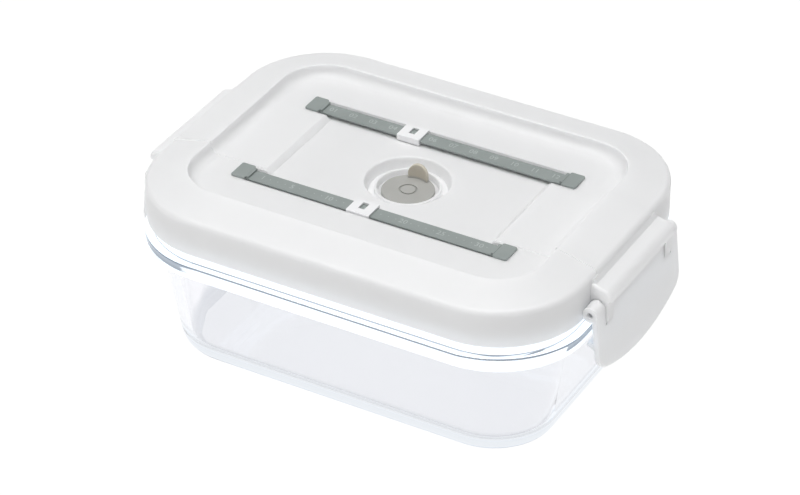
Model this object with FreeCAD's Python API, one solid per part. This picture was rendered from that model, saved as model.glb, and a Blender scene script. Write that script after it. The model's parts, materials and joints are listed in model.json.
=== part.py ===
# Rectangular glass food container with a latched vacuum lid, two reminder rails and a pull valve.
# Millimetres, +Z up, origin at the middle of the glass base.
# X runs from latch to latch, and the date rail is on the -Y side.
import FreeCAD, Part
import math
import os
from FreeCAD import Vector

# Glass tray
bead_length = 216.7
bead_width = 160.8
bead_corner = 43.0
bead_bottom = 55.4
bead_height = 6.6
bead_round = 1.2
neck_inset = 3.75
neck_top = 72.0
neck_wall = 4.6
neck_round = 1.0
wall_top_inset = 7.0
wall_top_corner = 34.0
foot_inset = 15.3
foot_corner = 28.8
foot_round = 6.8
glass_wall = 4.2
glass_floor = 5.0
glass_floor_round = 6.0

# Lid shell
skirt_gap = 0.5
lid_wall = 2.2
skirt_overlap = 4.5
skirt_round = 0.7
lid_height = 23.0
rim_drop = 4.7
rim_bulge = 0.6
rim_round = 2.6
rim_end = 19.9
rim_side = 19.25
lip_land = 0.8
recess_corner = 21.9
recess_depth = 5.6
recess_cove = 4.9
recess_lip_round = 0.5
lid_floor = 2.0
band_width = 51.6
band_height = 0.35

# Centre pocket and valve well
pocket_length = 116.0
pocket_slope = 2.3
pocket_depth = 2.0
well_diameter = 39.2
well_ledge_diameter = 35.8
well_depth = 5.4
well_lip_round = 0.8
collar_bore = 28.0
collar_wall = 1.2
collar_height = 2.4
collar_round = 0.4
seat_depth = 1.0
stem_hole_gap = 0.3
vent_diameter = 2.0
vent_circle = 13.0
vent_count = 6

# Valve plug
valve_diameter = 24.2
valve_thickness = 1.6
valve_edge_round = 0.4
valve_seat_gap = 0.1
valve_groove_diameter = 8.3
valve_groove_width = 0.8
valve_groove_depth = 0.4
valve_stem_diameter = 4.4
valve_barb_diameter = 6.4
valve_barb_height = 1.3
valve_travel = 2.0
valve_travel_spare = 0.4
pull_tab_width = 10.0
pull_tab_height = 7.4
pull_tab_thickness = 1.6
pull_tab_inset = 0.8
pull_tab_round = 0.4

# Inner plate, filter cap and gasket
plug_gap = 1.4
plug_wall = 2.2
plug_depth = 5.0
plate_thickness = 2.0
plate_edge_gap = 0.3
plate_opening = 18.0
gasket_height = 3.0
gasket_seat_gap = 0.1
gasket_fit = 0.1
gasket_outer_inset = 0.4
gasket_round = 0.6
roof_thickness = 1.6
rib_inset = 3.2
rib_wall = 1.6
filter_diameter = 24.0
filter_depth = 4.0
filter_wall = 1.2
filter_slot_width = 1.6
filter_slot_count = 5
filter_slot_pitch = 3.2
filter_slot_length = 10.0

# Reminder rails and sliders
rail_offset = 32.33
rail_span = 125.1
rail_width = 7.8
rail_thickness = 1.0
rail_sink = 0.1
tab_length = 7.05
tab_width = 10.9
tab_height = 1.0
rail_round = 0.25
tab_corner = 1.0
tab_edge_round = 0.25
rail_leg = 1.3
channel_clearance = 0.4
peg_diameter = 2.4
peg_length = 1.6
peg_gap = 0.1
slider_length = 11.4
slider_roof = 0.9
slider_leg = 0.95
slider_sole = 0.8
slider_gap = 0.25
slider_round = 0.35
slider_floor_gap = 0.4
window_length = 3.1
window_width = 5.0
window_shift = 0.9
month_slider_at = -15.5
date_slider_at = -4.6

# Latches
pivot_out = 3.7
pivot_up = 4.2
pin_diameter = 2.5
pin_block_gap = 0.03
pin_barrel_gap = 0.1
pin_recess = 1.6
block_width = 62.8
block_depth = 8.3
block_end_round = 1.0
nose_proud = 1.65
nose_above_pivot = 7.75
nose_slope = 0.28
nose_round = 4.6
nose_end_round = 1.5
nose_web_rise = 1.7
nose_web_run = 1.5
lug_length = 5.5
lug_foot_radius = 8.3
lug_gap = 0.12
knuckle_rise = 3.4
nose_flap_gap = 0.3
block_side_gap = 0.25
block_foot_gap = 0.15
ear_width = 7.8
barrel_radius = 3.6
flap_thickness = 3.0
flap_lean = 0.1
flap_length = 34.4
flap_bottom_radius = 97.0
flap_corner = 8.0
flap_edge_round = 0.7
slit_hole_diameter = 1.2
hook_reach = 0.3
hook_drop = 0.7
hook_tip = 1.4
hook_root = 4.6
hook_half_width = 36.0

# Heights and outlines that follow from the sizes above
X_AXIS = Vector(1, 0, 0)
Y_AXIS = Vector(0, 1, 0)
Z_AXIS = Vector(0, 0, 1)
LEVEL = 0.01
OVERCUT = 2.0


def inset(size, amount):
    """The (length, width, corner) rectangle moved in by an amount all round."""
    length, width, corner = size
    return (length - 2 * amount, width - 2 * amount, corner - amount)


def between(low, bottom, high, top, z):
    """The rectangle at height z on the straight taper from low to high."""
    share = (z - bottom) / (top - bottom)
    return tuple(a + (b - a) * share for a, b in zip(low, high))


bead = (bead_length, bead_width, bead_corner)
bead_top = bead_bottom + bead_height
neck = inset(bead, neck_inset)
mouth = inset(neck, neck_wall)
wall_top = inset(bead, wall_top_inset)[:2] + (wall_top_corner,)
foot = inset(bead, foot_inset)[:2] + (foot_corner,)
tray_floor = inset(between(foot, 0, wall_top, bead_bottom, glass_floor), glass_wall)

skirt_inner = inset(neck, -skirt_gap)
lid = inset(skirt_inner, -lid_wall)
skirt_bottom = neck_top - skirt_overlap
lid_top = skirt_bottom + lid_height
rim_edge = lid_top - rim_drop
rim = (lid[0], lid[1] + 2 * rim_bulge, lid[2] + rim_bulge)
recess = (lid[0] - 2 * rim_end, lid[1] - 2 * rim_side, recess_corner)
crown = inset(recess, -lip_land)
floor_top = lid_top - recess_depth
pocket_top = floor_top - pocket_depth
rail_top = floor_top - rail_sink
rail_bottom = rail_top - rail_thickness
channel_bottom = rail_bottom - slider_gap - slider_sole - slider_floor_gap
channel_length = rail_span + 2 * channel_clearance
ledge_top = pocket_top - well_depth
collar_top = ledge_top + collar_height
seat_top = ledge_top - seat_depth
seat_bottom = seat_top - lid_floor

plate_top = seat_bottom
plate_bottom = plate_top - plate_thickness
gasket_bottom = neck_top + gasket_seat_gap
gasket_top = gasket_bottom + gasket_height
roof_top = gasket_top + roof_thickness
plug = inset(mouth, plug_gap)
filter_bottom = plate_bottom - filter_depth

lid_end = lid[0] / 2
pivot = Vector(lid_end + pivot_out, 0, skirt_bottom + pivot_up)
block_face = lid_end + block_depth
nose_face = block_face + nose_proud
nose_top = pivot.z + nose_above_pivot
nose_bottom = pivot.z + knuckle_rise + nose_flap_gap
block_bottom = pivot.z - lug_foot_radius
lug_inner = block_width / 2 - lug_length
knuckle_half = lug_inner - lug_gap
knuckle_sweep = math.hypot(barrel_radius, knuckle_rise)
ear_inner = block_width / 2 + block_side_gap
ear_outer = ear_inner + ear_width
flap_bottom = pivot.z - flap_length
notch_radius = lug_foot_radius + block_foot_gap
flap_notch = pivot.z - math.sqrt(notch_radius ** 2 - barrel_radius ** 2)


def outline(size, z):
    """Closed wire round a rectangle with rounded corners, centred on the Z axis at height z."""
    length, width, corner = size
    arcs = []
    for quarter, (side_x, side_y) in enumerate(((1, 1), (-1, 1), (-1, -1), (1, -1))):
        centre = Vector(side_x * (length / 2 - corner), side_y * (width / 2 - corner), z)
        points = []
        for step in range(3):
            angle = math.radians(90 * quarter + 45 * step)
            points.append(centre + Vector(math.cos(angle), math.sin(angle), 0) * corner)
        arcs.append(points)
    edges = []
    for points, following in zip(arcs, arcs[1:] + arcs[:1]):
        edges.append(Part.Arc(*points).toShape())
        edges.append(Part.LineSegment(points[2], following[0]).toShape())
    return Part.Wire(edges)


def prism(size, bottom, top):
    """Upright block with rounded corners."""
    return Part.Face(outline(size, bottom)).extrude(Z_AXIS * (top - bottom))


def taper(low, bottom, high, top):
    """Block with rounded corners that widens from one height to another."""
    return Part.makeLoft([outline(low, bottom), outline(high, top)], True, True)


def round_level(shape, z, radius):
    """The shape with every edge that lies flat at height z rounded."""
    edges = [edge for edge in shape.Edges
             if abs(edge.BoundBox.ZMin - z) < LEVEL and abs(edge.BoundBox.ZMax - z) < LEVEL]
    return shape.makeFillet(radius, edges)


def round_along(shape, axis, radius):
    """The shape with every straight edge that runs along an axis rounded."""
    straight = [edge for edge in shape.Edges if isinstance(edge.Curve, Part.Line)]
    edges = [edge for edge in straight
             if abs(edge.tangentAt(edge.FirstParameter).dot(axis)) > 1 - LEVEL]
    return shape.makeFillet(radius, edges)


def box(low, high):
    """Plain block between two corners."""
    return Part.makeBox(high[0] - low[0], high[1] - low[1], high[2] - low[2], Vector(*low))


def disc(diameter, bottom, top, at=Vector(0, 0, 0)):
    """Upright cylinder."""
    return Part.makeCylinder(diameter / 2, top - bottom, Vector(at.x, at.y, bottom), Z_AXIS)


def ring(outer, inner, bottom, top):
    """Upright tube wall between two outlines."""
    return prism(outer, bottom, top).cut(prism(inner, bottom - OVERCUT, top + OVERCUT))


def profile(points, depth_from, depth_to):
    """Block whose section in the XZ plane is a polygon, between two Y positions."""
    corners = [Vector(x, depth_from, z) for x, z in points]
    return Part.Face(Part.makePolygon(corners + corners[:1])).extrude(Y_AXIS * (depth_to - depth_from))


def both_ends(shape):
    """The shape and its mirror image at the other short end."""
    return [shape, shape.mirror(Vector(0, 0, 0), X_AXIS)]


def both_sides(shape):
    """The shape and its mirror image at the other long side."""
    return [shape, shape.mirror(Vector(0, 0, 0), Y_AXIS)]


def glass_body():
    """Tapered glass tray with a bead round the rim and a neck above it."""
    wall = round_level(taper(foot, 0, wall_top, bead_bottom), 0, foot_round)
    thick_rim = round_level(prism(bead, bead_bottom, bead_top), bead_bottom, bead_round)
    thick_rim = round_level(thick_rim, bead_top, bead_round)
    collar = prism(neck, bead_top, neck_top)
    over = neck_top + OVERCUT
    hollow = taper(tray_floor, glass_floor, between(tray_floor, glass_floor, mouth, neck_top, over), over)
    hollow = round_level(hollow, glass_floor, glass_floor_round)
    tray = wall.fuse([thick_rim, collar]).removeSplitter().cut(hollow)
    return round_level(tray, neck_top, neck_round)


def recess_block(grow):
    """The hollow in the lid's top with its rounded foot, grown by a wall where the lid keeps material."""
    block = prism(inset(recess, -grow), floor_top - grow, lid_top + OVERCUT)
    return round_level(block, floor_top - grow, recess_cove)


def band():
    """Broad strip from latch to latch that stands a little proud of the lid's rim and floor."""
    end = lid_end + band_height
    edge_z = rim_edge + band_height
    top = lid_top + band_height
    lip = recess[0] / 2 - band_height
    cove = recess_cove - band_height
    ground = floor_top + band_height
    base = nose_top
    cove_x = lip - cove
    cove_z = ground + cove
    diagonal = math.sqrt(0.5)
    side = -band_width / 2

    def at(x, z):
        return Vector(x, side, z)

    half = [
        (at(cove_x, ground), at(cove_x + cove * diagonal, cove_z - cove * diagonal), at(lip, cove_z)),
        (at(lip, cove_z), at(lip, top)),
        (at(lip, top), at(crown[0] / 2, top)),
        (at(crown[0] / 2, top), at(end, edge_z)),
        (at(end, edge_z), at(end, base)),
    ]
    edges = []
    for sign in (1, -1):
        for points in half:
            placed = [Vector(sign * point.x, point.y, point.z) for point in points]
            edges.append((Part.Arc(*placed) if len(placed) == 3 else Part.LineSegment(*placed)).toShape())
    edges.append(Part.LineSegment(at(-cove_x, ground), at(cove_x, ground)).toShape())
    edges.append(Part.LineSegment(at(-end, base), at(end, base)).toShape())
    section = Part.Wire(Part.__sortEdges__(edges))
    strip = Part.Face(section).extrude(Y_AXIS * band_width)
    for x, z, radius in ((end, edge_z, rim_round + band_height), (lip, top, recess_lip_round)):
        corners = [edge for edge in strip.Edges
                   if abs(abs(edge.CenterOfMass.x) - x) < LEVEL and abs(edge.CenterOfMass.z - z) < LEVEL
                   and edge.BoundBox.YLength > band_width - LEVEL]
        strip = strip.makeFillet(radius, corners)
    return strip


def pocket_block(grow):
    """The shallow pocket between the rails, with sloping ends, and the channels the sliders run in."""
    top = floor_top + OVERCUT
    half = pocket_length / 2
    run = pocket_slope * (top - pocket_top) / pocket_depth
    slope_top = half - pocket_slope + run
    points = [(slope_top + grow, top), (half - pocket_slope + grow, pocket_top - grow),
              (pocket_slope - half - grow, pocket_top - grow), (-slope_top - grow, top)]
    shape = profile(points, -rail_offset, rail_offset)
    reach = channel_length / 2 + grow
    channel = box((-reach, rail_offset - tab_width / 2 - grow, channel_bottom - grow),
                  (reach, rail_offset + tab_width / 2 + grow, top))
    return shape.fuse(both_sides(channel))


def well_block(grow):
    """The round well round the valve: a cone down to a ledge, and the seat inside the collar."""
    cone = Part.makeCone(well_ledge_diameter / 2 + grow, well_diameter / 2 + grow, well_depth + grow,
                         Vector(0, 0, ledge_top - grow), Z_AXIS)
    seat = disc(collar_bore + 2 * grow, seat_top - grow, ledge_top + OVERCUT)
    return cone.fuse(seat)


def hinge_nose():
    """The block's upper part: a sloping top that rounds down over the flap, with a web against the rim."""
    half = block_width / 2
    back = lid_end - lid_wall
    points = [(back, nose_bottom), (nose_face, nose_bottom), (nose_face, nose_top),
              (back, nose_top + nose_slope * (nose_face - back))]
    nose = profile(points, -half, half)
    outer = [edge for edge in nose.Edges
             if abs(edge.BoundBox.XMin - nose_face) < LEVEL and abs(edge.BoundBox.ZMin - nose_top) < LEVEL]
    nose = nose.makeFillet(nose_round, outer)
    ends = [edge for edge in nose.Edges
            if edge.BoundBox.YLength < LEVEL and edge.BoundBox.XMax > lid_end
            and edge.BoundBox.ZMax > nose_bottom + LEVEL]
    nose = nose.makeFillet(nose_end_round, ends)

    rim_face = lid_end + band_height
    foot_x = rim_face + nose_web_run
    foot_z = nose_top + nose_slope * (nose_face - foot_x)
    web_top = nose_top + nose_slope * (nose_face - rim_face) + nose_web_rise
    web_points = [(back, foot_z), (foot_x, foot_z), (rim_face, web_top), (back, web_top)]
    return nose.fuse(profile(web_points, nose_end_round - half, half - nose_end_round))


def hinge_block():
    """Two lugs on the lid's short end that carry the latch pin, under a nose that reaches over the flap."""
    half = block_width / 2
    round_foot = Part.makeCylinder(lug_foot_radius, block_width, pivot - Y_AXIS * half, Y_AXIS)
    above = box((0, -half, pivot.z), (2 * lid_end, half, lid_top))
    lug_top = nose_bottom + block_end_round
    lug = box((lid_end - lid_wall, lug_inner, block_bottom), (block_face, half, lug_top))
    lug = lug.common(round_foot.fuse(above)).removeSplitter()
    end_edges = [edge for edge in lug.Edges
                 if abs(edge.BoundBox.YMin - half) < LEVEL and edge.BoundBox.XMax > lid_end]
    lug = lug.makeFillet(block_end_round, end_edges)
    turning_room = Part.makeCylinder(knuckle_sweep + nose_flap_gap, 2 * lug_inner,
                                     pivot - Y_AXIS * lug_inner, Y_AXIS)
    beside_wall = box((0, -half, 0), (lid_end, half, lid_top))
    block = hinge_nose().cut(turning_room.cut(beside_wall)).fuse(both_sides(lug))
    inside = box((0, -block_width, 0), (skirt_inner[0] / 2, block_width, skirt_bottom + LEVEL))
    return block.cut(inside)


def soften_lip(body):
    """The lid with the edge round its recess rounded a little."""
    edges = [edge for edge in body.Edges
             if abs(edge.BoundBox.ZMin - lid_top) < LEVEL and edge.BoundBox.ZLength < LEVEL
             and max(abs(edge.BoundBox.XMin), abs(edge.BoundBox.XMax)) < recess[0] / 2 + LEVEL
             and max(abs(edge.BoundBox.YMin), abs(edge.BoundBox.YMax)) < recess[1] / 2 + LEVEL]
    return body.makeFillet(recess_lip_round, edges)


def lid_shell():
    """White moulded lid: rim, sunk floor, pocket, valve well and hinge blocks, hollow underneath."""
    body = taper(lid, skirt_bottom, rim, rim_edge).fuse(taper(rim, rim_edge, crown, lid_top))
    body = round_level(body, rim_edge, rim_round)
    body = round_level(body, skirt_bottom, skirt_round)
    body = soften_lip(body.cut(recess_block(0))).fuse(band())
    body = body.fuse(both_ends(hinge_block()))

    room_edge = rim_edge - lid_wall
    room_roof = taper(skirt_inner, room_edge, inset(crown, lid_wall), lid_top - lid_wall)
    room = prism(skirt_inner, skirt_bottom - OVERCUT, room_edge).fuse(room_roof)
    rib = ring(inset(skirt_inner, rib_inset), inset(skirt_inner, rib_inset + rib_wall), roof_top, lid_top)
    room = room.cut([recess_block(lid_floor), pocket_block(lid_floor), well_block(lid_floor), rib])
    body = body.cut(room)

    body = body.cut(pocket_block(0))
    collar = disc(collar_bore + 2 * collar_wall, ledge_top - LEVEL, collar_top)
    collar = collar.cut(disc(collar_bore, seat_top, collar_top + OVERCUT))
    collar = round_level(collar, collar_top, collar_round)
    body = body.cut(well_block(0))
    circles = [edge for edge in body.Edges if isinstance(edge.Curve, Part.Circle)]
    lip = [edge for edge in circles if abs(edge.Curve.Radius - well_diameter / 2) < LEVEL
           and abs(edge.BoundBox.ZMin - pocket_top) < LEVEL]
    body = body.makeFillet(well_lip_round, lip).fuse(collar)

    cuts = [disc(valve_stem_diameter + 2 * stem_hole_gap, seat_bottom - OVERCUT, seat_top + OVERCUT)]
    for number in range(vent_count):
        angle = 2 * math.pi * number / vent_count
        at = Vector(math.cos(angle), math.sin(angle), 0) * (vent_circle / 2)
        cuts.append(disc(vent_diameter, seat_bottom - OVERCUT, seat_top + OVERCUT, at))
    peg_hole = disc(peg_diameter + 2 * peg_gap, floor_top - lid_floor - OVERCUT, floor_top + OVERCUT,
                    Vector((rail_span + tab_length) / 2, rail_offset, 0))
    for shape in both_ends(peg_hole):
        cuts.extend(both_sides(shape))
    pin_hole = Part.makeCylinder(pin_diameter / 2 + pin_block_gap, block_width + 2 * OVERCUT,
                                 pivot - Y_AXIS * (block_width / 2 + OVERCUT), Y_AXIS)
    return body.cut(cuts + both_ends(pin_hole)).removeSplitter()


def lid_inner_plate():
    """Cover under the lid: a panel, a plug wall that fits inside the glass and a roof over the gasket."""
    wall_inner = inset(plug, plug_wall)
    panel = prism(inset(plug, LEVEL), plate_bottom, plate_top)
    wall = ring(plug, wall_inner, neck_top - plug_depth, roof_top)
    roof = ring(inset(skirt_inner, plate_edge_gap), wall_inner, gasket_top, roof_top)
    opening = disc(plate_opening, plate_bottom - OVERCUT, plate_top + OVERCUT)
    return panel.fuse([wall, roof]).cut(opening).removeSplitter()


def lid_gasket():
    """Flat silicone seal round the plug wall, on top of the glass neck."""
    outer = inset(neck, gasket_outer_inset)
    inner = inset(plug, -gasket_fit)
    return round_level(ring(outer, inner, gasket_bottom, gasket_top), gasket_bottom, gasket_round)


def valve_filter():
    """Shallow slotted cap under the valve that keeps food out of the air hole."""
    floor = filter_bottom + filter_wall
    cap = disc(filter_diameter, filter_bottom, plate_bottom)
    cap = cap.cut(disc(filter_diameter - 2 * filter_wall, floor, plate_bottom + OVERCUT))
    slots = []
    for number in range(filter_slot_count):
        x = (number - (filter_slot_count - 1) / 2) * filter_slot_pitch
        slots.append(box((x - filter_slot_width / 2, -filter_slot_length / 2, filter_bottom - OVERCUT),
                         (x + filter_slot_width / 2, filter_slot_length / 2, floor + OVERCUT)))
    return cap.cut(slots)


def pull_tab(top):
    """Upright tongue with a half-round end, curved like the edge of the valve's disc that it stands on."""
    far = valve_diameter / 2 - pull_tab_inset
    half = pull_tab_width / 2
    root = top - valve_thickness / 2
    tip = top + pull_tab_height
    shoulder = tip - half
    places = ((-half, shoulder), (-half, root), (half, root), (half, shoulder))
    corners = [Vector(x, far, z) for x, z in places]
    edges = [Part.LineSegment(a, b).toShape() for a, b in zip(corners, corners[1:])]
    edges.append(Part.Arc(corners[3], Vector(0, far, tip), corners[0]).toShape())
    tongue = Part.Face(Part.Wire(edges)).extrude(-Y_AXIS * far)
    shell = disc(2 * far, root, tip + OVERCUT)
    shell = shell.cut(disc(2 * (far - pull_tab_thickness), root - OVERCUT, tip + 2 * OVERCUT))
    tongue = tongue.common(shell)
    soft = [edge for edge in tongue.Edges if edge.BoundBox.ZMax > tip - LEVEL]
    return tongue.makeFillet(pull_tab_round, soft)


def valve_plug():
    """Silicone valve: a disc on the seat with a round groove and a pull tab on top, and a barbed stem."""
    bottom = seat_top + valve_seat_gap
    top = bottom + valve_thickness
    head = round_level(disc(valve_diameter, bottom, top), top, valve_edge_round)
    groove = disc(valve_groove_diameter, top - valve_groove_depth, top + OVERCUT)
    groove = groove.cut(disc(valve_groove_diameter - 2 * valve_groove_width, bottom, top + OVERCUT))
    barb_top = seat_bottom - valve_travel - valve_travel_spare
    stem = disc(valve_stem_diameter, barb_top - valve_barb_height, bottom + LEVEL)
    barb = Part.makeCone(valve_stem_diameter / 2, valve_barb_diameter / 2, valve_barb_height,
                         Vector(0, 0, barb_top - valve_barb_height), Z_AXIS)
    return head.cut(groove).fuse([stem, barb, pull_tab(top)]).removeSplitter()


def rail(side):
    """Grey reminder strip with a raised tab and a peg at each end, on one long side of the lid."""
    centre = side * rail_offset
    half = rail_span / 2
    tab_top = floor_top + tab_height

    def stretch(start, end, width, bottom, top):
        low, high = sorted((start, end))
        return box((low, centre - width / 2, bottom), (high, centre + width / 2, top))

    strip = round_along(stretch(-half, half, rail_width, rail_bottom, rail_top), X_AXIS, rail_round)
    pieces = []
    for end in (-1, 1):
        root = end * half
        tab = stretch(root, root + end * tab_length, tab_width, floor_top, tab_top)
        pieces.append(round_level(round_along(tab, Z_AXIS, tab_corner), tab_top, tab_edge_round))
        pieces.append(stretch(root, root - end * rail_leg, rail_width, rail_bottom, tab_top))
        pieces.append(stretch(root - end * LEVEL, root + end * tab_corner, rail_width, floor_top,
                              tab_top - tab_height / 2))
        at = Vector(root + end * tab_length / 2, centre, 0)
        pieces.append(disc(peg_diameter, floor_top - peg_length, floor_top + LEVEL, at))
    return strip.fuse(pieces).removeSplitter()


def slider(side, at):
    """White loop round a rail with a window on top."""
    centre = side * rail_offset
    inner_half = rail_width / 2 + slider_gap
    outer_half = inner_half + slider_leg
    bottom = rail_bottom - slider_gap
    top = rail_top + slider_gap
    low = at - slider_length / 2
    high = at + slider_length / 2
    body = box((low, centre - outer_half, bottom - slider_sole),
               (high, centre + outer_half, top + slider_roof))
    body = round_along(body, X_AXIS, slider_round)
    tunnel = box((low - OVERCUT, centre - inner_half, bottom), (high + OVERCUT, centre + inner_half, top))
    across = centre + window_shift
    window = box((at - window_length / 2, across - window_width / 2, top - LEVEL),
                 (at + window_length / 2, across + window_width / 2, top + slider_roof + OVERCUT))
    return body.cut([tunnel, window])


def plate_outline():
    """The flap seen from outside: straight sides, round lower corners and a gently curved lower edge."""
    half = ear_outer
    rise = flap_bottom_radius - math.sqrt(flap_bottom_radius ** 2 - half ** 2)
    corner = flap_bottom + rise
    top = pivot.z
    x = lid_end
    edges = [
        Part.LineSegment(Vector(x, -half, top), Vector(x, -half, corner)).toShape(),
        Part.Arc(Vector(x, -half, corner), Vector(x, 0, flap_bottom), Vector(x, half, corner)).toShape(),
        Part.LineSegment(Vector(x, half, corner), Vector(x, half, top)).toShape(),
        Part.LineSegment(Vector(x, half, top), Vector(x, -half, top)).toShape(),
    ]
    depth = block_depth + flap_lean * flap_length + OVERCUT
    sheet = Part.Face(Part.Wire(edges)).extrude(X_AXIS * depth)
    lower = [edge for edge in sheet.Edges
             if abs(edge.BoundBox.ZMin - corner) < LEVEL and abs(edge.BoundBox.ZMax - corner) < LEVEL]
    return sheet.makeFillet(flap_corner, lower)


def latch_flap():
    """Fold-down flap at the +X end: a leaning plate with a hook rib, and three barrels round the pin."""
    face = pivot.x + barrel_radius
    lower_face = face + flap_lean * flap_length
    points = [(face - flap_thickness, pivot.z), (face, pivot.z), (lower_face, flap_bottom),
              (lower_face - flap_thickness, flap_bottom)]
    plate = profile(points, -ear_outer, ear_outer).common(plate_outline())
    below = pivot.z - LEVEL
    outer = [edge for edge in plate.Edges if edge.BoundBox.ZMin < below
             and (edge.BoundBox.ZMax < below or edge.BoundBox.YLength < LEVEL)]
    plate = plate.makeFillet(flap_edge_round, outer)
    notch = Part.makeCylinder(notch_radius, ear_inner - knuckle_half, pivot + Y_AXIS * knuckle_half, Y_AXIS)
    slit_end = Vector(0, ear_inner - slit_hole_diameter / 4, flap_notch)
    slit_hole = Part.makeCylinder(slit_hole_diameter / 2, 2 * lid_end, slit_end, X_AXIS)
    plate = plate.cut(both_sides(notch.fuse(slit_hole)))

    def plate_inner(z):
        return face + flap_lean * (pivot.z - z) - flap_thickness

    tip = bead_length / 2 + hook_reach
    hook_top = bead_bottom - hook_drop
    root = plate_inner(hook_top) + flap_thickness / 2
    section = [(tip, hook_top), (root, hook_top), (root, hook_top - hook_root), (tip, hook_top - hook_tip)]
    hook = profile(section, -hook_half_width, hook_half_width)
    barrels = []
    for start, end in ((-ear_outer, -ear_inner), (-knuckle_half, knuckle_half), (ear_inner, ear_outer)):
        barrels.append(Part.makeCylinder(barrel_radius, end - start, pivot + Y_AXIS * start, Y_AXIS))
    upper_edge = box((pivot.x, -knuckle_half, pivot.z - LEVEL), (face, knuckle_half, pivot.z + knuckle_rise))
    flap = plate.fuse([hook, upper_edge] + barrels)
    bore = Part.makeCylinder(pin_diameter / 2 + pin_barrel_gap, 2 * (ear_outer + OVERCUT),
                             pivot - Y_AXIS * (ear_outer + OVERCUT), Y_AXIS)
    return flap.cut(bore).removeSplitter()


def latch_pin():
    """Steel pin through the lugs at the +X end, set back a little inside the outer barrels."""
    half = ear_outer - pin_recess
    return Part.makeCylinder(pin_diameter / 2, 2 * half, pivot - Y_AXIS * half, Y_AXIS)


right_flap, left_flap = both_ends(latch_flap())
right_pin, left_pin = both_ends(latch_pin())
nodes = {
    "glass_body": glass_body(),
    "lid_shell": lid_shell(),
    "lid_inner_plate": lid_inner_plate(),
    "lid_gasket": lid_gasket(),
    "valve_filter": valve_filter(),
    "valve_plug": valve_plug(),
    "latch_right_flap": right_flap,
    "latch_left_flap": left_flap,
    "latch_right_pin": right_pin,
    "latch_left_pin": left_pin,
    "month_rail": rail(1),
    "date_rail": rail(-1),
    "month_slider": slider(1, month_slider_at),
    "date_slider": slider(-1, date_slider_at),
}

os.makedirs("parts", exist_ok=True)
for name, shape in nodes.items():
    print(name, "solids", len(shape.Solids), "valid", shape.isValid(), "volume", round(shape.Volume, 1))
    shape.exportStep("parts/" + name + ".step")
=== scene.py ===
# %% [markdown]
# A vacuum food container: a pressed glass tray, a white moulded lid with two latches, two grey reminder
# rails with sliders and a silicone valve. The solid parts come from a CAD model at their real size. This
# lesson gives them their finishes, builds the glass again as one smooth surface, and adds the small raised
# numbers on the rails. All lengths are metres.

# %% Load the solid parts
import json
import math

import bmesh
import bpy
import numpy as np
from mathutils import Matrix, Vector


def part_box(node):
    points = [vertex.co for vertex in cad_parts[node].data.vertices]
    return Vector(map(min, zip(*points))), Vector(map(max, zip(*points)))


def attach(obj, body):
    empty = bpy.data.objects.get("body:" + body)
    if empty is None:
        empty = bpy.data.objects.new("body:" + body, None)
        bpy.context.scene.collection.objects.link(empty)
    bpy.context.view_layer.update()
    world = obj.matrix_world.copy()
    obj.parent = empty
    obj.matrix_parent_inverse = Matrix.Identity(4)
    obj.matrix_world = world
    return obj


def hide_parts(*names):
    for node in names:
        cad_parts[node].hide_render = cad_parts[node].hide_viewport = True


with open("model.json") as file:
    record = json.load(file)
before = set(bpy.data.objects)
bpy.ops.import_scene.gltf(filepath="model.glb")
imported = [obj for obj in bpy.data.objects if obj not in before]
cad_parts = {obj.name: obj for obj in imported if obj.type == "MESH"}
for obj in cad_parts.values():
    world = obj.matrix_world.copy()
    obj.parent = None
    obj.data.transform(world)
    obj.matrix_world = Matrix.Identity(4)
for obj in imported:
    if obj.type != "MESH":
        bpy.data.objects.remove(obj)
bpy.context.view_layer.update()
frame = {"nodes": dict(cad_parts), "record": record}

MM = 0.001
scene = bpy.context.scene
print("solid parts:", ", ".join(sorted(frame["nodes"])))

# %% [markdown]
# The picture is a bright product shot, almost white on white. A plain view transform keeps the white paper
# white, where a filmic one would turn it grey. The camera is a long lens that looks down on the lid from the
# front right corner. Its angles, distance and lens were fitted to outline points of the picture, and the
# lens is shifted a little because the object doesn't stand in the middle of the frame.

# %% Camera
IMAGE_WIDTH = 800
IMAGE_HEIGHT = 495
SENSOR = 36.0
FOCAL_PIXELS = 3381.4
CENTRE_PIXEL = (408.0, 259.8)
CAMERA_AZIMUTH = math.radians(29.32)
CAMERA_ELEVATION = math.radians(34.39)
CAMERA_DISTANCE = 1.5328
CAMERA_TARGET = Vector((0, 0, 40 * MM))

scene.view_settings.view_transform = "Standard"
lens = bpy.data.cameras.new("camera")
lens.sensor_width = SENSOR
lens.lens = FOCAL_PIXELS * SENSOR / IMAGE_WIDTH
lens.shift_x = 0.5 - CENTRE_PIXEL[0] / IMAGE_WIDTH
lens.shift_y = (CENTRE_PIXEL[1] - IMAGE_HEIGHT / 2) / IMAGE_WIDTH
camera = bpy.data.objects.new("camera", lens)
scene.collection.objects.link(camera)
backwards = Vector((math.sin(CAMERA_AZIMUTH) * math.cos(CAMERA_ELEVATION),
                    -math.cos(CAMERA_AZIMUTH) * math.cos(CAMERA_ELEVATION),
                    math.sin(CAMERA_ELEVATION)))
camera.location = CAMERA_TARGET + backwards * CAMERA_DISTANCE
camera.rotation_euler = backwards.to_track_quat("Z", "Y").to_euler()
scene.camera = camera
print("lens", round(lens.lens, 1), "mm at", [round(c, 3) for c in camera.location])

# %% [markdown]
# A new material starts as one Principled shader. Its patterns read Object coordinates: they are metres on
# every piece here, so a noise scale of 1000 gives lumps of about a millimetre on all of them. Four small
# helpers are enough for every finish: a pattern, a colour and a roughness that drift with it, and a grain.

# %% Material helpers
TINT_SPAN = (0.35, 0.65)
GLOSS_SPAN = (0.3, 0.7)
finishes = {}


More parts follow.
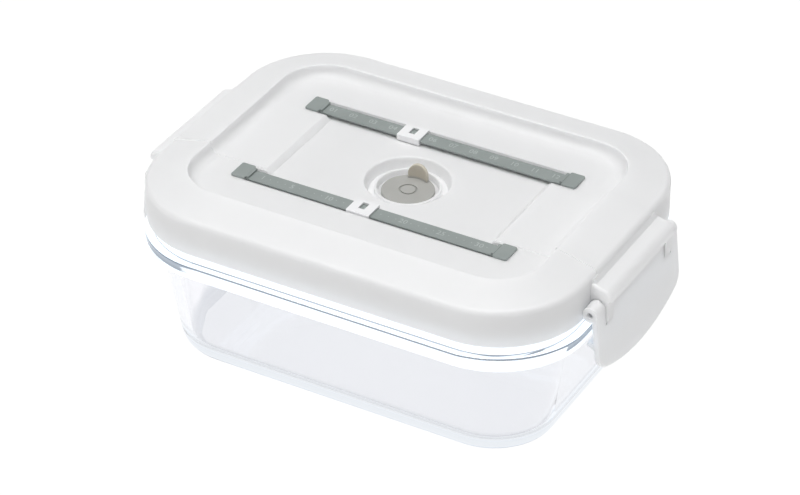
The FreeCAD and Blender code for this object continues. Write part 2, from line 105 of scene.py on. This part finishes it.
def new_finish(name):
    """A material with one Principled shader joined to its output: the material, its tree and its shader."""
    finish = bpy.data.materials.new(name)
    finish.use_nodes = True
    tree = finish.node_tree
    tree.nodes.clear()
    output = tree.nodes.new("ShaderNodeOutputMaterial")
    shader = tree.nodes.new("ShaderNodeBsdfPrincipled")
    tree.links.new(shader.outputs["BSDF"], output.inputs["Surface"])
    return finish, tree, shader


def set_inputs(node, **values):
    """Sets input sockets by name, with an underscore for each space in the socket's name."""
    for name, value in values.items():
        node.inputs[name.replace("_", " ")].default_value = value


def noise(tree, scale, detail=2.0, stretch=(1, 1, 1)):
    """A noise pattern with scale lumps to the metre, thinned out along an axis by stretch."""
    place = tree.nodes.new("ShaderNodeTexCoord")
    mapping = tree.nodes.new("ShaderNodeMapping")
    mapping.inputs["Scale"].default_value = stretch
    tree.links.new(place.outputs["Object"], mapping.inputs["Vector"])
    pattern = tree.nodes.new("ShaderNodeTexNoise")
    set_inputs(pattern, Scale=scale, Detail=detail)
    tree.links.new(mapping.outputs["Vector"], pattern.inputs["Vector"])
    return pattern.outputs["Fac"]


def tint(tree, shader, pattern, dark, light):
    """Base colour that drifts from dark to light with a pattern."""
    ramp = tree.nodes.new("ShaderNodeValToRGB")
    for element, position, colour in zip(ramp.color_ramp.elements, TINT_SPAN, (dark, light)):
        element.position = position
        element.color = (*colour, 1)
    tree.links.new(pattern, ramp.inputs["Fac"])
    tree.links.new(ramp.outputs["Color"], shader.inputs["Base Color"])


def gloss(tree, shader, pattern, low, high):
    """Roughness that drifts from low to high with a pattern."""
    spread = tree.nodes.new("ShaderNodeMapRange")
    set_inputs(spread, From_Min=GLOSS_SPAN[0], From_Max=GLOSS_SPAN[1], To_Min=low, To_Max=high)
    tree.links.new(pattern, spread.inputs["Value"])
    tree.links.new(spread.outputs["Result"], shader.inputs["Roughness"])


def grain(tree, shader, pattern, rise):
    """Bump of a pattern, rise metres from valley to top."""
    bump = tree.nodes.new("ShaderNodeBump")
    set_inputs(bump, Strength=1.0, Distance=rise)
    tree.links.new(pattern, bump.inputs["Height"])
    tree.links.new(bump.outputs["Normal"], shader.inputs["Normal"])


# %% [markdown]
# Two pieces change colour with place: the valve from its button to its pull tab, with painted shade and
# painted highlight, and the tray from its foot to its bead, with a painted glow. A painted picture could do
# that, but it would have to be wrapped round each piece. A ramp along the height, or along the distance from
# the middle, needs only a few named lengths.

# %% Shades along a length
def height_above_foot(tree):
    """Height in metres: the z of the Object coordinates."""
    place = tree.nodes.new("ShaderNodeTexCoord")
    split = tree.nodes.new("ShaderNodeSeparateXYZ")
    tree.links.new(place.outputs["Object"], split.inputs["Vector"])
    return split.outputs["Z"]


def distance_from_axis(tree):
    """Distance from the upright axis through the middle of the lid: the length of (x, y, 0)."""
    place = tree.nodes.new("ShaderNodeTexCoord")
    flat = tree.nodes.new("ShaderNodeMapping")
    flat.inputs["Scale"].default_value = (1, 1, 0)
    tree.links.new(place.outputs["Object"], flat.inputs["Vector"])
    length = tree.nodes.new("ShaderNodeVectorMath")
    length.operation = "LENGTH"
    tree.links.new(flat.outputs["Vector"], length.inputs[0])
    return length.outputs["Value"]


def shade_along(tree, measure, stops):
    """Colour along a measure: stops are pairs of a length and a colour, with an even change between them."""
    low, high = stops[0][0], stops[-1][0]
    spread = tree.nodes.new("ShaderNodeMapRange")
    set_inputs(spread, From_Min=low, From_Max=high)
    tree.links.new(measure(tree), spread.inputs["Value"])
    ramp = tree.nodes.new("ShaderNodeValToRGB")
    while len(ramp.color_ramp.elements) < len(stops):
        ramp.color_ramp.elements.new(1.0)
    for element, (length, colour) in zip(ramp.color_ramp.elements, stops):
        element.position = (length - low) / (high - low)
        element.color = (*colour, 1)
    tree.links.new(spread.outputs["Result"], ramp.inputs["Fac"])
    return ramp.outputs["Color"]


# %% [markdown]
# The container stands on a light table in a tent. The floor glows white and reflects little, so no shadow
# shows and the glass has light beneath it. It could lie in the plane of the foot, but two surfaces in one
# plane show as streaks, and with a gap between them the foot would mirror the dark lid. So it lies a hair
# above the underside of the foot, like wet glass on paper.

# %% Floor
FLOOR_SIZE = 12.0
FLOOR_STEPS = 25
FLOOR_LEVEL = 0.1 * MM
FLOOR_GLOW = 1.0
PAPER_TONES = (0.04, 0.04, 0.04), (0.05, 0.05, 0.05)
PAPER_ROUGHNESS = 0.9
PAPER_SHINE = 0.1
PAPER_CLOUDS = 3.0


def make_floor():
    """A flat square grid: x and y go from minus to plus half the floor's size, and z is its level."""
    line = np.linspace(-FLOOR_SIZE / 2, FLOOR_SIZE / 2, FLOOR_STEPS)
    x, y = np.meshgrid(line, line)
    points = np.stack([x, y, np.full_like(x, FLOOR_LEVEL)], -1).reshape(-1, 3)
    corner = (np.arange(FLOOR_STEPS - 1)[:, None] * FLOOR_STEPS + np.arange(FLOOR_STEPS - 1)).ravel()
    quads = np.stack([corner, corner + 1, corner + FLOOR_STEPS + 1, corner + FLOOR_STEPS], 1)
    mesh = bpy.data.meshes.new("floor")
    mesh.from_pydata(points.tolist(), [], quads.tolist())
    return bpy.data.objects.new("floor", mesh)


def glowing_paper():
    """Matt white sheet lit from below."""
    finish, tree, shader = new_finish("paper")
    set_inputs(shader, Roughness=PAPER_ROUGHNESS, Specular_IOR_Level=PAPER_SHINE,
               Emission_Color=(1, 1, 1, 1), Emission_Strength=FLOOR_GLOW)
    tint(tree, shader, noise(tree, PAPER_CLOUDS), *PAPER_TONES)
    return finish


floor = make_floor()
floor.data.materials.append(glowing_paper())
scene.collection.objects.link(floor)
print("floor:", len(floor.data.polygons), "squares")

# %% [markdown]
# Upright faces get half their light from the floor and half from the dim grey world, so they come out darker
# than the top of the lid, which has a wide soft light above it. A second light, low behind the left corner,
# shines through the glass, and a third, low in front on the left, lifts the long front side of the lid.

# %% Light
WORLD_GREY = (0.16, 0.164, 0.17)
LIGHT_AIM = Vector((0, 0, 0.05))
LIGHTS = (
    ("top_light", (0.0, -0.15, 1.30), (1.3, 1.3), 16.2),
    ("back_light", (-0.75, 1.10, 0.45), (1.6, 0.8), 1.0),
    ("front_light", (-0.45, -1.40, 0.55), (1.2, 0.8), 1.2),
)


def softbox(name, place, size, power):
    """A flat soft light at a place, turned towards the container; size is its width and height."""
    light = bpy.data.lights.new(name, "AREA")
    light.shape = "RECTANGLE"
    light.size, light.size_y = size
    light.energy = power
    lamp = bpy.data.objects.new(name, light)
    lamp.location = place
    lamp.rotation_euler = (Vector(place) - LIGHT_AIM).to_track_quat("Z", "Y").to_euler()
    scene.collection.objects.link(lamp)


world = bpy.data.worlds.new("tent")
world.use_nodes = True
world.node_tree.nodes["Background"].inputs["Color"].default_value = (*WORLD_GREY, 1)
scene.world = world
for light_row in LIGHTS:
    softbox(*light_row)

# %% [markdown]
# The lid and the latches are white polypropylene, a milky plastic. Light goes a few millimetres into it, so
# it softens edges and reaches through the thin skirt into the gap behind it. A flat white would look like
# paper, so the shader's light is all subsurface light, with the fine satin grain that a mould leaves, a third
# of a millimetre wide, and a slow drift in tone. The sliders are so thin that light spread through them would
# wash out their edges, so they get the same white without the milk.

# %% White moulded plastic
WHITE_TONES = (0.93, 0.93, 0.935), (0.95, 0.95, 0.955)
WHITE_ROUGHNESS = 0.36, 0.46
WHITE_CLOUDS = 28.0
WHITE_GRAIN = 2600.0
WHITE_GRAIN_RISE = 0.004 * MM
MILK_DEPTH = 3.0 * MM


def white_plastic(name, milkiness):
    """Satin white with a fine mould grain; milkiness is the share of light that goes into it."""
    finish, tree, shader = new_finish(name)
    cloud = noise(tree, WHITE_CLOUDS, detail=3.0)
    tint(tree, shader, cloud, *WHITE_TONES)
    gloss(tree, shader, cloud, *WHITE_ROUGHNESS)
    grain(tree, shader, noise(tree, WHITE_GRAIN), WHITE_GRAIN_RISE)
    set_inputs(shader, Subsurface_Weight=milkiness, Subsurface_Radius=(1, 1, 1), Subsurface_Scale=MILK_DEPTH)
    return finish


finishes["white_plastic"] = white_plastic("white_plastic", 1.0)
finishes["hard_white"] = white_plastic("hard_white", 0.0)
print("finishes so far:", ", ".join(finishes))

# %% [markdown]
# The rails are a grey plastic that is a little greener than neutral, with the same satin grain. Their finish
# is a separate material because the grey shows the grain and the gloss more than white does.

# %% Grey moulded plastic
GREY_TONES = (0.300, 0.334, 0.322), (0.326, 0.360, 0.348)
GREY_ROUGHNESS = 0.34, 0.46
GREY_CLOUDS = 60.0
GREY_GRAIN = 2200.0
GREY_GRAIN_RISE = 0.008 * MM


def grey_plastic(name, dark, light):
    """Satin grey with a fine mould grain."""
    finish, tree, shader = new_finish(name)
    cloud = noise(tree, GREY_CLOUDS, detail=4.0)
    tint(tree, shader, cloud, dark, light)
    gloss(tree, shader, cloud, *GREY_ROUGHNESS)
    grain(tree, shader, noise(tree, GREY_GRAIN, detail=3.0), GREY_GRAIN_RISE)
    return finish


finishes["grey_plastic"] = grey_plastic("grey_plastic", *GREY_TONES)
print("finishes so far:", ", ".join(finishes))

# %% [markdown]
# Silicone rubber is matt and lets more light into it than hard plastic. The valve is a warm light grey and
# the seal under the lid is nearly clear, so both come from one function with other colours. Painted light and
# shade can be multiplied into the colour: the valve's flat disc is painted cooler and darker than its pull
# tab, as painted shade of the well it lies in, which leaves the thin tab lighter as if light shone through
# it;
# the round groove in the disc is painted darker as painted shade, and the button inside it a little lighter
# as painted highlight.

# %% Silicone rubber
VALVE_TONES = (0.615, 0.568, 0.480), (0.645, 0.598, 0.510)
SEAL_TONES = (0.72, 0.73, 0.73), (0.78, 0.79, 0.79)
SILICONE_ROUGHNESS = 0.50, 0.62
SILICONE_CLOUDS = 90.0
SILICONE_GRAIN = 3000.0
SILICONE_GRAIN_RISE = 0.006 * MM
SILICONE_MILK = 0.25
SILICONE_SPREAD = (1.0, 0.95, 0.85)
SILICONE_DEPTH = 1.5 * MM


def silicone(name, dark, light, painted_shades=()):
    """Matt dusty rubber; painted shades pair a measure with ramp stops of painted light and shade."""
    finish, tree, shader = new_finish(name)
    cloud = noise(tree, SILICONE_CLOUDS, detail=4.0)
    tint(tree, shader, cloud, dark, light)
    gloss(tree, shader, cloud, *SILICONE_ROUGHNESS)
    grain(tree, shader, noise(tree, SILICONE_GRAIN), SILICONE_GRAIN_RISE)
    set_inputs(shader, Subsurface_Weight=SILICONE_MILK, Subsurface_Radius=SILICONE_SPREAD,
               Subsurface_Scale=SILICONE_DEPTH)
    for measure, stops in painted_shades:
        mix = tree.nodes.new("ShaderNodeMixRGB")
        mix.blend_type = "MULTIPLY"
        mix.inputs["Fac"].default_value = 1.0
        tree.links.new(shader.inputs["Base Color"].links[0].from_socket, mix.inputs["Color1"])
        tree.links.new(shade_along(tree, measure, stops), mix.inputs["Color2"])
        tree.links.new(mix.outputs["Color"], shader.inputs["Base Color"])
    return finish


# %% [markdown]
# The valve's heights are counted down from the top of its pull tab, and its radii out from its middle, so the
# painted shade and highlight follow the real piece wherever the lid holds it.

# %% Valve and seal
PLAIN = (1, 1, 1)
# Painted shade: the disc is multiplied darker and cooler for the shade of the well it lies in.
DISC_PAINTED_SHADE = (0.69, 0.743, 0.83)
STEM_BELOW_TOP = 10 * MM
DISC_BELOW_TOP = 7.4 * MM
TAB_BELOW_TOP = 6 * MM
# Painted highlight on the button and painted shade in the groove, multiplied in by distance from the middle.
BUTTON_PAINTED_HIGHLIGHT = (1.04, 1.04, 1.04)
GROOVE_PAINTED_SHADE = (0.78, 0.79, 0.78)
BUTTON_EDGE = 3.1 * MM
GROOVE_START = 3.5 * MM
GROOVE_END = 4.0 * MM
RING_START = 4.4 * MM
RING_END = 12 * MM

valve_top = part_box("valve_plug")[1][2]
valve_painted_heights = [(valve_top - STEM_BELOW_TOP, DISC_PAINTED_SHADE), (valve_top - DISC_BELOW_TOP, DISC_PAINTED_SHADE),
                 (valve_top - TAB_BELOW_TOP, PLAIN), (valve_top, PLAIN)]
valve_painted_radii = [(0.0, BUTTON_PAINTED_HIGHLIGHT), (BUTTON_EDGE, BUTTON_PAINTED_HIGHLIGHT), (GROOVE_START, GROOVE_PAINTED_SHADE),
               (GROOVE_END, GROOVE_PAINTED_SHADE), (RING_START, PLAIN), (RING_END, PLAIN)]
valve_painted_shades = [(height_above_foot, valve_painted_heights), (distance_from_axis, valve_painted_radii)]
finishes["grey_silicone"] = silicone("grey_silicone", *VALVE_TONES, valve_painted_shades)
finishes["pale_silicone"] = silicone("pale_silicone", *SEAL_TONES)
print("top of the valve's tab:", round(valve_top / MM, 2), "mm")

# %% [markdown]
# The hinge pins are drawn steel wire. Drawing leaves fine lines along the wire, which runs along Y, so the
# noise is stretched in that direction.

# %% Drawn steel
STEEL_TONES = (0.42, 0.42, 0.43), (0.56, 0.56, 0.57)
STEEL_ROUGHNESS = 0.28, 0.45
STEEL_LINES = 4000.0
STEEL_STRETCH = (1, 0.02, 1)
STEEL_LINE_RISE = 0.004 * MM


def drawn_steel(name):
    """Grey metal with lines along Y."""
    finish, tree, shader = new_finish(name)
    lines = noise(tree, STEEL_LINES, detail=3.0, stretch=STEEL_STRETCH)
    tint(tree, shader, lines, *STEEL_TONES)
    gloss(tree, shader, lines, *STEEL_ROUGHNESS)
    grain(tree, shader, lines, STEEL_LINE_RISE)
    set_inputs(shader, Metallic=1.0)
    return finish


finishes["steel"] = drawn_steel("drawn_steel")
print("finishes so far:", ", ".join(finishes))

# %% [markdown]
# The tray is clear glass with the palest blue in it, which shows most where light travels far inside the
# glass. A volume takes some red and green out of the light on its way. The surface dims what passes as well,
# a little at the walls and more at the foot, which rests on the glowing floor. The glass also glows, faintly
# in its walls and more strongly and pale blue in its bead, as painted light that stands in for light carried
# round inside the glass. Pressed glass is never quite flat: a slow ripple, a few thousandths of a millimetre
# high, bends what is seen through it.

# %% Clear glass
GLASS_INDEX = 1.50
GLASS_TINT = (0.82, 0.90, 0.98)
GLASS_DENSITY = 20.0
RIPPLE = 30.0
RIPPLE_RISE = 0.005 * MM
FOOT_TOP = 9.5 * MM
WALL_START = 12 * MM
WALL_END = 52 * MM
BEAD_START = 55 * MM
GLASS_TOP = 72 * MM
FOOT_SURFACE = (0.745, 0.755, 0.78)
WALL_SURFACE = (0.968, 0.960, 0.965)
NO_GLOW = (0, 0, 0)
# Painted light: a faint glow in the walls and a stronger pale blue glow in the bead.
WALL_PAINTED_GLOW = (0.008, 0.008, 0.011)
BEAD_PAINTED_GLOW = (0.20, 0.23, 0.26)
GLASS_SURFACE = [(0.0, FOOT_SURFACE), (FOOT_TOP, FOOT_SURFACE), (WALL_START, WALL_SURFACE),
                 (GLASS_TOP, WALL_SURFACE)]
GLASS_PAINTED_GLOW = [(0.0, NO_GLOW), (FOOT_TOP, NO_GLOW), (WALL_START, WALL_PAINTED_GLOW), (WALL_END, WALL_PAINTED_GLOW),
              (BEAD_START, BEAD_PAINTED_GLOW), (GLASS_TOP, BEAD_PAINTED_GLOW)]


def clear_glass(name):
    """Clear glass with a rippled surface, a glow that is painted light, and a pale blue volume."""
    finish, tree, shader = new_finish(name)
    set_inputs(shader, Roughness=0.0, IOR=GLASS_INDEX, Transmission_Weight=1.0, Emission_Strength=1.0)
    tree.links.new(shade_along(tree, height_above_foot, GLASS_SURFACE), shader.inputs["Base Color"])
    # The emission is painted light, from none at the foot up to the most in the bead.
    tree.links.new(shade_along(tree, height_above_foot, GLASS_PAINTED_GLOW), shader.inputs["Emission Color"])
    grain(tree, shader, noise(tree, RIPPLE, detail=0.0), RIPPLE_RISE)
    absorb = tree.nodes.new("ShaderNodeVolumeAbsorption")
    set_inputs(absorb, Color=(*GLASS_TINT, 1), Density=GLASS_DENSITY)
    tree.links.new(absorb.outputs["Volume"], tree.nodes["Material Output"].inputs["Volume"])
    return finish


finishes["clear_glass"] = clear_glass("clear_glass")
print("finishes so far:", ", ".join(finishes))

# %% [markdown]
# Each solid part gets its finish by the material slot that the record gives it, so a part that is added
# later is dressed as well. Only the two sliders take the harder white.

# %% Dress the solid parts
HARD_PIECES = ("month_slider", "date_slider")
for part in frame["record"]["subparts"]:
    node = part["node"]
    finish = "hard_white" if node in HARD_PIECES else part["material_slot"]
    solid = frame["nodes"][node]
    solid.data.materials.clear()
    solid.data.materials.append(finishes[finish])

# %% [markdown]
# The tray is one closed sheet of glass. Its section, seen from the side, goes from the middle of the foot up
# the outer wall, round the bead and the neck, over the mouth and down the inner wall to the middle of the
# floor. Every point of the section is carried round a rectangle with round corners. The walls lean and their
# corners tighten towards the foot, so a point of the section holds three numbers: how far it is inside the
# bead's outline, its height and its corner's radius. Where two stretches of the section meet, a parabola
# rounds the bend. A solid built from faces shows a seam at each corner through clear glass, and a sheet made
# in one go doesn't.

# %% Glass tray
BEAD_HALF = np.array([108.35, 80.4]) * MM
ARC_STEPS = 36
SIDE_STEPS = 10
BEND_STEPS = 9
WALL_STEPS = 14
GLASS_SECTION = [
    (15.3, 0.0, 28.8, 6.8), (7.0, 55.4, 34.0, 0.8), (0.0, 55.4, 43.0, 1.2), (0.0, 62.0, 43.0, 1.2),
    (3.75, 62.0, 39.25, 0.4), (3.75, 72.0, 39.25, 1.0), (8.35, 72.0, 34.65, 1.0), (18.75, 5.0, 25.1, 6.0),
]


def bent_section(corners, start, end):
    """
    Points along a line of corners, each corner rounded.

    A corner (inset, height, plan radius, bend) is trimmed back by its bend on both sides, and the gap is
    filled by the parabola (1 - q)^2 * before + 2 q (1 - q) * corner + q^2 * after, with q from 0 to 1.
    Straight stretches are divided evenly.
    """
    places = np.array([start] + [corner[:3] for corner in corners] + [end])
    bends = [corner[3] for corner in corners]
    q = np.linspace(0, 1, BEND_STEPS)[:, None]
    path = [places[:1]]
    for index, bend in enumerate(bends, start=1):
        corner = places[index]
        legs = [places[index - 1] - corner, places[index + 1] - corner]
        before, after = [corner + leg * bend / np.hypot(leg[0], leg[1]) for leg in legs]
        straight = path[-1][-1] + (before - path[-1][-1]) * np.linspace(0, 1, WALL_STEPS)[1:-1, None]
        curve = (1 - q) ** 2 * before + 2 * q * (1 - q) * corner + q ** 2 * after
        path.extend([straight, curve])
    last = path[-1][-1] + (places[-1] - path[-1][-1]) * np.linspace(0, 1, WALL_STEPS)[1:, None]
    path.append(last)
    return np.concatenate(path)


def corner_walk():
    """
    Directions round a rounded rectangle: the signs of the corner and the angle about it.

    The angle goes through a quarter turn at each corner and stays still along each side, where the place
    slides from one corner to the next.
    """
    signs = np.array([(1, 1), (-1, 1), (-1, -1), (1, -1)])
    places, angles = [], []
    for quarter in range(4):
        turn = np.linspace(0, np.pi / 2, ARC_STEPS) + quarter * np.pi / 2
        places.append(np.repeat(signs[quarter:quarter + 1].astype(float), ARC_STEPS, 0))
        angles.append(turn)
        slide = np.linspace(0, 1, SIDE_STEPS + 1)[1:-1, None]
        places.append(signs[quarter] + (signs[(quarter + 1) % 4] - signs[quarter]) * slide)
        angles.append(np.full(SIDE_STEPS - 1, turn[-1]))
    return np.concatenate(places), np.concatenate(angles)


def sheet_faces(rows, columns):
    """Quads of a grid that is closed along its columns, as rows of four vertex numbers."""
    row, column = np.meshgrid(np.arange(rows - 1), np.arange(columns), indexing="ij")
    following = (column + 1) % columns
    quads = [row * columns + column, row * columns + following,
             (row + 1) * columns + following, (row + 1) * columns + column]
    return np.stack(quads, -1).reshape(-1, 4)


def make_glass():
    """
    The tray: x = place_x (half length - inset - radius) + radius cos(angle), and y in the same way.

    Place and angle come from the walk round the corners; inset, height and radius from the section. The
    sheet ends in one vertex under the foot and one on the floor.
    """
    span = BEAD_HALF.min() / MM
    foot_centre = (span, GLASS_SECTION[0][1], 0.0)
    floor_centre = (span, GLASS_SECTION[-1][1], 0.0)
    section = bent_section(GLASS_SECTION, foot_centre, floor_centre)[1:-1] * MM
    place, angle = corner_walk()
    inset, height, radius = section.T[:, :, None]
    flat = BEAD_HALF - (inset + radius)[:, :, None]
    turn = np.stack([np.cos(angle), np.sin(angle)], -1)
    plan = place * flat + radius[:, :, None] * turn
    rows, columns = plan.shape[:2]
    level = np.broadcast_to(height[:, :, None], (rows, columns, 1))
    points = np.concatenate([plan, level], -1).reshape(-1, 3)
    poles = np.array([[0, 0, section[0, 1]], [0, 0, section[-1, 1]]])
    quads = sheet_faces(rows, columns)
    first, last = len(points), len(points) + 1
    column = np.arange(columns)
    following = (column + 1) % columns
    foot_fan = np.stack([np.full(columns, first), following, column], 1)
    floor_fan = np.stack([np.full(columns, last), (rows - 1) * columns + column,
                          (rows - 1) * columns + following], 1)
    mesh = bpy.data.meshes.new("glass_sheet")
    mesh.from_pydata(np.concatenate([points, poles]).tolist(), [],
                     quads.tolist() + foot_fan.tolist() + floor_fan.tolist())
    mesh.polygons.foreach_set("use_smooth", np.ones(len(mesh.polygons), dtype=bool))
    return bpy.data.objects.new("glass_sheet", mesh)


glass = make_glass()
glass.data.materials.append(finishes["clear_glass"])
scene.collection.objects.link(glass)
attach(glass, "glass")
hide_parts("glass_body")
print("glass sheet:", len(glass.data.vertices), "points")

# %% [markdown]
# The rails carry small moulded figures: the months 01 to 12 on the back rail, and days on the front rail with
# a dot for each day between them. A Text object already has clean outlines for figures, so each label is
# typed, given a little thickness, made a mesh and laid on its strip. The figures are a shade lighter than the
# strip under them, a painted highlight for the light their raised tops catch. They stay low enough for the
# sliders to pass over.

# %% Rail numbers
TAB_LENGTH = 7.05 * MM
STRIP_BELOW_TAB = 1.1 * MM
FIGURE_SIZE = 4.2 * MM
FIGURE_RISE = 0.10 * MM
FIGURE_SMOOTHNESS = 3
SAME_POINT = 0.001 * MM
MONTHS = 12
DAYS = 31
SHOWN_DAYS = (1, 5, 10, 15, 20, 25, 30)
FIRST_DAY_INSET = 6.65 * MM
DAY_PITCH = 3.77 * MM
MIDDLE_DOT = "\u00b7"
FIGURE_HIGHLIGHT_TONES = (0.45, 0.49, 0.475), (0.49, 0.53, 0.515)


def raised_labels(name, labels, y, top):
    """Flat figures in a row along X: each label (words, x) is a slab that stands a rise above the strip."""
    row = bmesh.new()
    for words, x in labels:
        letters = bpy.data.curves.new("figures", "FONT")
        letters.body = words
        letters.size = FIGURE_SIZE
        letters.align_x = "CENTER"
        letters.align_y = "CENTER"
        letters.extrude = FIGURE_RISE
        letters.resolution_u = FIGURE_SMOOTHNESS
        typed = bpy.data.objects.new("figures", letters)
        slab = bpy.data.meshes.new_from_object(typed)
        slab.transform(Matrix.Translation((x, y, top)))
        row.from_mesh(slab)
        bpy.data.objects.remove(typed)
        bpy.data.meshes.remove(slab)
    bmesh.ops.remove_doubles(row, verts=row.verts, dist=SAME_POINT)
    bmesh.ops.recalc_face_normals(row, faces=row.faces)
    mesh = bpy.data.meshes.new(name)
    row.to_mesh(mesh)
    row.free()
    return bpy.data.objects.new(name, mesh)


def rail_labels(name, node, labels):
    """Labels on a rail, with x counted from the left end of its strip; they ride with the lid."""
    low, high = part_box(node)
    start = low[0] + TAB_LENGTH
    placed = [(words, start + x) for words, x in labels]
    figures = raised_labels(name, placed, (low[1] + high[1]) / 2, high[2] - STRIP_BELOW_TAB)
    figures.data.materials.append(figure_highlight_grey)
    scene.collection.objects.link(figures)
    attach(figures, "lid")
    return figures


# The figures' lighter grey is painted highlight for the light on their raised tops.
figure_highlight_grey = grey_plastic("figure_highlight_grey", *FIGURE_HIGHLIGHT_TONES)
rail_low, rail_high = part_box("month_rail")
month_pitch = (rail_high[0] - rail_low[0] - 2 * TAB_LENGTH) / MONTHS
months = [(f"{month:02d}", (month - 0.5) * month_pitch) for month in range(1, MONTHS + 1)]
days = [(str(day) if day in SHOWN_DAYS else MIDDLE_DOT, FIRST_DAY_INSET + (day - 1) * DAY_PITCH)
        for day in range(1, DAYS + 1)]
for name, node, labels in (("month_numbers", "month_rail", months), ("day_numbers", "date_rail", days)):
    figures = rail_labels(name, node, labels)
    print(name, len(labels), "labels,", len(figures.data.polygons), "faces")
